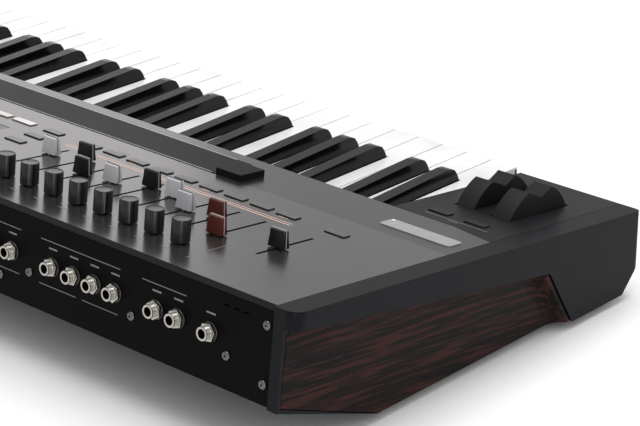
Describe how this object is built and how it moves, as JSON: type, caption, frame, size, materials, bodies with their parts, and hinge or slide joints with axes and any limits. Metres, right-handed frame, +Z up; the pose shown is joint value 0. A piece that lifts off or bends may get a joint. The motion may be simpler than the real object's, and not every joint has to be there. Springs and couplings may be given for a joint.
{
  "type": "synthesizer",
  "caption": "Sloping keyboard synthesizer with wood side panels, finger wheels, drawbar faders, encoder knobs and a black rear socket panel.",
  "frame": {"origin": "centre of the footprint, on the surface the feet stand on", "axes": "+X the player's right, +Y the rear panel, +Z up"},
  "size_m": [1, 0.3699, 0.1222],
  "materials": {
    "panel_paint": "satin metallic grey",
    "black_paint": "satin black",
    "cap_plastic": "fine-grained dark grey",
    "cheek_plastic": "fine-grained dark grey",
    "rosewood": "satin lacquer",
    "zinc_steel": "zinc plated",
    "board": "solder mask",
    "supply_steel": "plain",
    "nickel": "bright nickel",
    "black_plastic": "moulded",
    "black_gloss": "gloss",
    "black_screw": "black zinc",
    "rubber": "matte",
    "display_glass": "dark gloss window",
    "ribbon": "satin strip with bright edges",
    "wheel_plastic": "soft matte",
    "knob_plastic": "satin dark",
    "button_grey": "satin",
    "button_light": "satin",
    "button_dark": "satin",
    "cap_brown": "satin",
    "cap_white": "satin",
    "cap_black": "satin",
    "key_white": "gloss",
    "key_black": "satin gloss"
  },
  "bodies": {
    "case": {"bottom_pan": "black_paint", "case_screws": "black_screw", "circuit_boards": "board", "data_sockets": "black_plastic", "display_window": "display_glass", "jack_nuts": "nickel", "jack_sockets": "nickel", "keybed_chassis": "zinc_steel", "left_end_cap": "cap_plastic", "left_wood_panel": "rosewood", "panel_board": "board", "power_entry": "black_plastic", "power_supply": "supply_steel", "rear_panel": "black_paint", "ribbon_strip": "ribbon", "right_cheek_panel": "cheek_plastic", "right_end_cap": "cap_plastic", "right_wood_panel": "rosewood", "rubber_feet": "rubber", "top_panel": "panel_paint", "wheel_bracket": "zinc_steel", "wheel_panel": "cheek_plastic"},
    "c_keys": {"keys_c": "key_white"},
    "c_sharp_keys": {"keys_c_sharp": "key_black"},
    "d_keys": {"keys_d": "key_white"},
    "d_sharp_keys": {"keys_d_sharp": "key_black"},
    "e_keys": {"keys_e": "key_white"},
    "f_keys": {"keys_f": "key_white"},
    "f_sharp_keys": {"keys_f_sharp": "key_black"},
    "g_keys": {"keys_g": "key_white"},
    "g_sharp_keys": {"keys_g_sharp": "key_black"},
    "a_keys": {"keys_a": "key_white"},
    "a_sharp_keys": {"keys_a_sharp": "key_black"},
    "b_keys": {"keys_b": "key_white"},
    "volume_fader_body": {"volume_fader": "cap_black"},
    "drawbar_fader_1_body": {"drawbar_fader_1": "cap_brown"},
    "drawbar_fader_2_body": {"drawbar_fader_2": "cap_brown"},
    "drawbar_fader_3_body": {"drawbar_fader_3": "cap_white"},
    "drawbar_fader_4_body": {"drawbar_fader_4": "cap_white"},
    "drawbar_fader_5_body": {"drawbar_fader_5": "cap_black"},
    "drawbar_fader_6_body": {"drawbar_fader_6": "cap_white"},
    "drawbar_fader_7_body": {"drawbar_fader_7": "cap_black"},
    "drawbar_fader_8_body": {"drawbar_fader_8": "cap_black"},
    "drawbar_fader_9_body": {"drawbar_fader_9": "cap_white"},
    "encoder_knob_1_body": {"encoder_knob_1": "knob_plastic"},
    "encoder_knob_2_body": {"encoder_knob_2": "knob_plastic"},
    "encoder_knob_3_body": {"encoder_knob_3": "knob_plastic"},
    "encoder_knob_4_body": {"encoder_knob_4": "knob_plastic"},
    "encoder_knob_5_body": {"encoder_knob_5": "knob_plastic"},
    "encoder_knob_6_body": {"encoder_knob_6": "knob_plastic"},
    "encoder_knob_7_body": {"encoder_knob_7": "knob_plastic"},
    "encoder_knob_8_body": {"encoder_knob_8": "knob_plastic"},
    "encoder_knob_9_body": {"encoder_knob_9": "knob_plastic"},
    "data_wheel_body": {"data_wheel": "knob_plastic"},
    "pitch_wheel_body": {"pitch_wheel": "wheel_plastic"},
    "modulation_wheel_body": {"modulation_wheel": "wheel_plastic"},
    "power_rocker_body": {"power_rocker": "black_gloss"},
    "panel_buttons_body": {"panel_buttons": "button_grey"},
    "soft_buttons_body": {"soft_buttons": "button_light"},
    "wheel_buttons_body": {"wheel_buttons": "button_dark"}
  },
  "joints": [
    {"name": "c_key_press", "type": "hinge", "parent": "case", "child": "c_keys", "pos_m": [0, 0.00094, 0.0604], "axis": [1, 0, 0], "range_deg": [0, 3.12], "stiffness_Nm_per_rad": 3, "springref_deg": -8.59},
    {"name": "c_sharp_key_press", "type": "hinge", "parent": "case", "child": "c_sharp_keys", "pos_m": [0, 0.00094, 0.0604], "axis": [1, 0, 0], "range_deg": [0, 3.12], "stiffness_Nm_per_rad": 3, "springref_deg": -8.59},
    {"name": "d_key_press", "type": "hinge", "parent": "case", "child": "d_keys", "pos_m": [0, 0.00094, 0.0604], "axis": [1, 0, 0], "range_deg": [0, 3.12], "stiffness_Nm_per_rad": 3, "springref_deg": -8.59},
    {"name": "d_sharp_key_press", "type": "hinge", "parent": "case", "child": "d_sharp_keys", "pos_m": [0, 0.00094, 0.0604], "axis": [1, 0, 0], "range_deg": [0, 3.12], "stiffness_Nm_per_rad": 3, "springref_deg": -8.59},
    {"name": "e_key_press", "type": "hinge", "parent": "case", "child": "e_keys", "pos_m": [0, 0.00094, 0.0604], "axis": [1, 0, 0], "range_deg": [0, 3.12], "stiffness_Nm_per_rad": 3, "springref_deg": -8.59},
    {"name": "f_key_press", "type": "hinge", "parent": "case", "child": "f_keys", "pos_m": [0, 0.00094, 0.0604], "axis": [1, 0, 0], "range_deg": [0, 3.12], "stiffness_Nm_per_rad": 3, "springref_deg": -8.59},
    {"name": "f_sharp_key_press", "type": "hinge", "parent": "case", "child": "f_sharp_keys", "pos_m": [0, 0.00094, 0.0604], "axis": [1, 0, 0], "range_deg": [0, 3.12], "stiffness_Nm_per_rad": 3, "springref_deg": -8.59},
    {"name": "g_key_press", "type": "hinge", "parent": "case", "child": "g_keys", "pos_m": [0, 0.00094, 0.0604], "axis": [1, 0, 0], "range_deg": [0, 3.12], "stiffness_Nm_per_rad": 3, "springref_deg": -8.59},
    {"name": "g_sharp_key_press", "type": "hinge", "parent": "case", "child": "g_sharp_keys", "pos_m": [0, 0.00094, 0.0604], "axis": [1, 0, 0], "range_deg": [0, 3.12], "stiffness_Nm_per_rad": 3, "springref_deg": -8.59},
    {"name": "a_key_press", "type": "hinge", "parent": "case", "child": "a_keys", "pos_m": [0, 0.00094, 0.0604], "axis": [1, 0, 0], "range_deg": [0, 3.12], "stiffness_Nm_per_rad": 3, "springref_deg": -8.59},
    {"name": "a_sharp_key_press", "type": "hinge", "parent": "case", "child": "a_sharp_keys", "pos_m": [0, 0.00094, 0.0604], "axis": [1, 0, 0], "range_deg": [0, 3.12], "stiffness_Nm_per_rad": 3, "springref_deg": -8.59},
    {"name": "b_key_press", "type": "hinge", "parent": "case", "child": "b_keys", "pos_m": [0, 0.00094, 0.0604], "axis": [1, 0, 0], "range_deg": [0, 3.12], "stiffness_Nm_per_rad": 3, "springref_deg": -8.59},
    {"name": "volume_fader_slide", "type": "slide", "parent": "case", "child": "volume_fader_body", "axis": [0, 0.9925, 0.1219], "range_m": [-0.0306, 0.0174]},
    {"name": "drawbar_fader_1_slide", "type": "slide", "parent": "case", "child": "drawbar_fader_1_body", "axis": [0, 0.9925, 0.1219], "range_m": [-0.0443, 0.0037]},
    {"name": "drawbar_fader_2_slide", "type": "slide", "parent": "case", "child": "drawbar_fader_2_body", "axis": [0, 0.9925, 0.1219], "range_m": [-0.0192, 0.0288]},
    {"name": "drawbar_fader_3_slide", "type": "slide", "parent": "case", "child": "drawbar_fader_3_body", "axis": [0, 0.9925, 0.1219], "range_m": [-0.0243, 0.0237]},
    {"name": "drawbar_fader_4_slide", "type": "slide", "parent": "case", "child": "drawbar_fader_4_body", "axis": [0, 0.9925, 0.1219], "range_m": [-0.0107, 0.0373]},
    {"name": "drawbar_fader_5_slide", "type": "slide", "parent": "case", "child": "drawbar_fader_5_body", "axis": [0, 0.9925, 0.1219], "range_m": [-0.0086, 0.0394]},
    {"name": "drawbar_fader_6_slide", "type": "slide", "parent": "case", "child": "drawbar_fader_6_body", "axis": [0, 0.9925, 0.1219], "range_m": [-0.0228, 0.0252]},
    {"name": "drawbar_fader_7_slide", "type": "slide", "parent": "case", "child": "drawbar_fader_7_body", "axis": [0, 0.9925, 0.1219], "range_m": [-0.0284, 0.0196]},
    {"name": "drawbar_fader_8_slide", "type": "slide", "parent": "case", "child": "drawbar_fader_8_body", "axis": [0, 0.9925, 0.1219], "range_m": [-0.0024, 0.0456]},
    {"name": "drawbar_fader_9_slide", "type": "slide", "parent": "case", "child": "drawbar_fader_9_body", "axis": [0, 0.9925, 0.1219], "range_m": [-0.0137, 0.0343]},
    {"name": "encoder_knob_1_turn", "type": "hinge", "parent": "case", "child": "encoder_knob_1_body", "pos_m": [-0.3641, 0.13827, 0.10517], "axis": [0, -0.1219, 0.9925], "continuous": true},
    {"name": "encoder_knob_2_turn", "type": "hinge", "parent": "case", "child": "encoder_knob_2_body", "pos_m": [-0.3397, 0.13827, 0.10517], "axis": [0, -0.1219, 0.9925], "continuous": true},
    {"name": "encoder_knob_3_turn", "type": "hinge", "parent": "case", "child": "encoder_knob_3_body", "pos_m": [-0.3153, 0.13827, 0.10517], "axis": [0, -0.1219, 0.9925], "continuous": true},
    {"name": "encoder_knob_4_turn", "type": "hinge", "parent": "case", "child": "encoder_knob_4_body", "pos_m": [-0.2909, 0.13827, 0.10517], "axis": [0, -0.1219, 0.9925], "continuous": true},
    {"name": "encoder_knob_5_turn", "type": "hinge", "parent": "case", "child": "encoder_knob_5_body", "pos_m": [-0.2665, 0.13827, 0.10517], "axis": [0, -0.1219, 0.9925], "continuous": true},
    {"name": "encoder_knob_6_turn", "type": "hinge", "parent": "case", "child": "encoder_knob_6_body", "pos_m": [-0.2421, 0.13827, 0.10517], "axis": [0, -0.1219, 0.9925], "continuous": true},
    {"name": "encoder_knob_7_turn", "type": "hinge", "parent": "case", "child": "encoder_knob_7_body", "pos_m": [-0.2177, 0.13827, 0.10517], "axis": [0, -0.1219, 0.9925], "continuous": true},
    {"name": "encoder_knob_8_turn", "type": "hinge", "parent": "case", "child": "encoder_knob_8_body", "pos_m": [-0.1933, 0.13827, 0.10517], "axis": [0, -0.1219, 0.9925], "continuous": true},
    {"name": "encoder_knob_9_turn", "type": "hinge", "parent": "case", "child": "encoder_knob_9_body", "pos_m": [-0.1689, 0.13827, 0.10517], "axis": [0, -0.1219, 0.9925], "continuous": true},
    {"name": "data_wheel_turn", "type": "hinge", "parent": "case", "child": "data_wheel_body", "pos_m": [0.1094, 0.09906, 0.10035], "axis": [0, -0.1219, 0.9925], "continuous": true},
    {"name": "pitch_wheel_turn", "type": "hinge", "parent": "case", "child": "pitch_wheel_body", "pos_m": [0, -0.11295, 0.05709], "axis": [1, 0, 0], "range_deg": [-32, 32], "stiffness_Nm_per_rad": 0.12},
    {"name": "modulation_wheel_turn", "type": "hinge", "parent": "case", "child": "modulation_wheel_body", "pos_m": [0, -0.11295, 0.05709], "axis": [1, 0, 0], "range_deg": [-32, 32]},
    {"name": "power_rocker_turn", "type": "hinge", "parent": "case", "child": "power_rocker_body", "pos_m": [0, 0.17681, 0.07595], "axis": [1, 0, 0], "range_deg": [0, 14]},
    {"name": "panel_buttons_press", "type": "slide", "parent": "case", "child": "panel_buttons_body", "axis": [0, 0.1219, -0.9925], "range_m": [0, 0.0008], "stiffness_N_per_m": 4000, "springref_m": -0.0006},
    {"name": "soft_buttons_press", "type": "slide", "parent": "case", "child": "soft_buttons_body", "axis": [0, 0.1219, -0.9925], "range_m": [0, 0.0008], "stiffness_N_per_m": 1500, "springref_m": -0.0006},
    {"name": "wheel_buttons_press", "type": "slide", "parent": "case", "child": "wheel_buttons_body", "axis": [0, 0.1219, -0.9925], "range_m": [0, 0.0008], "stiffness_N_per_m": 800, "springref_m": -0.0006}
  ]
}
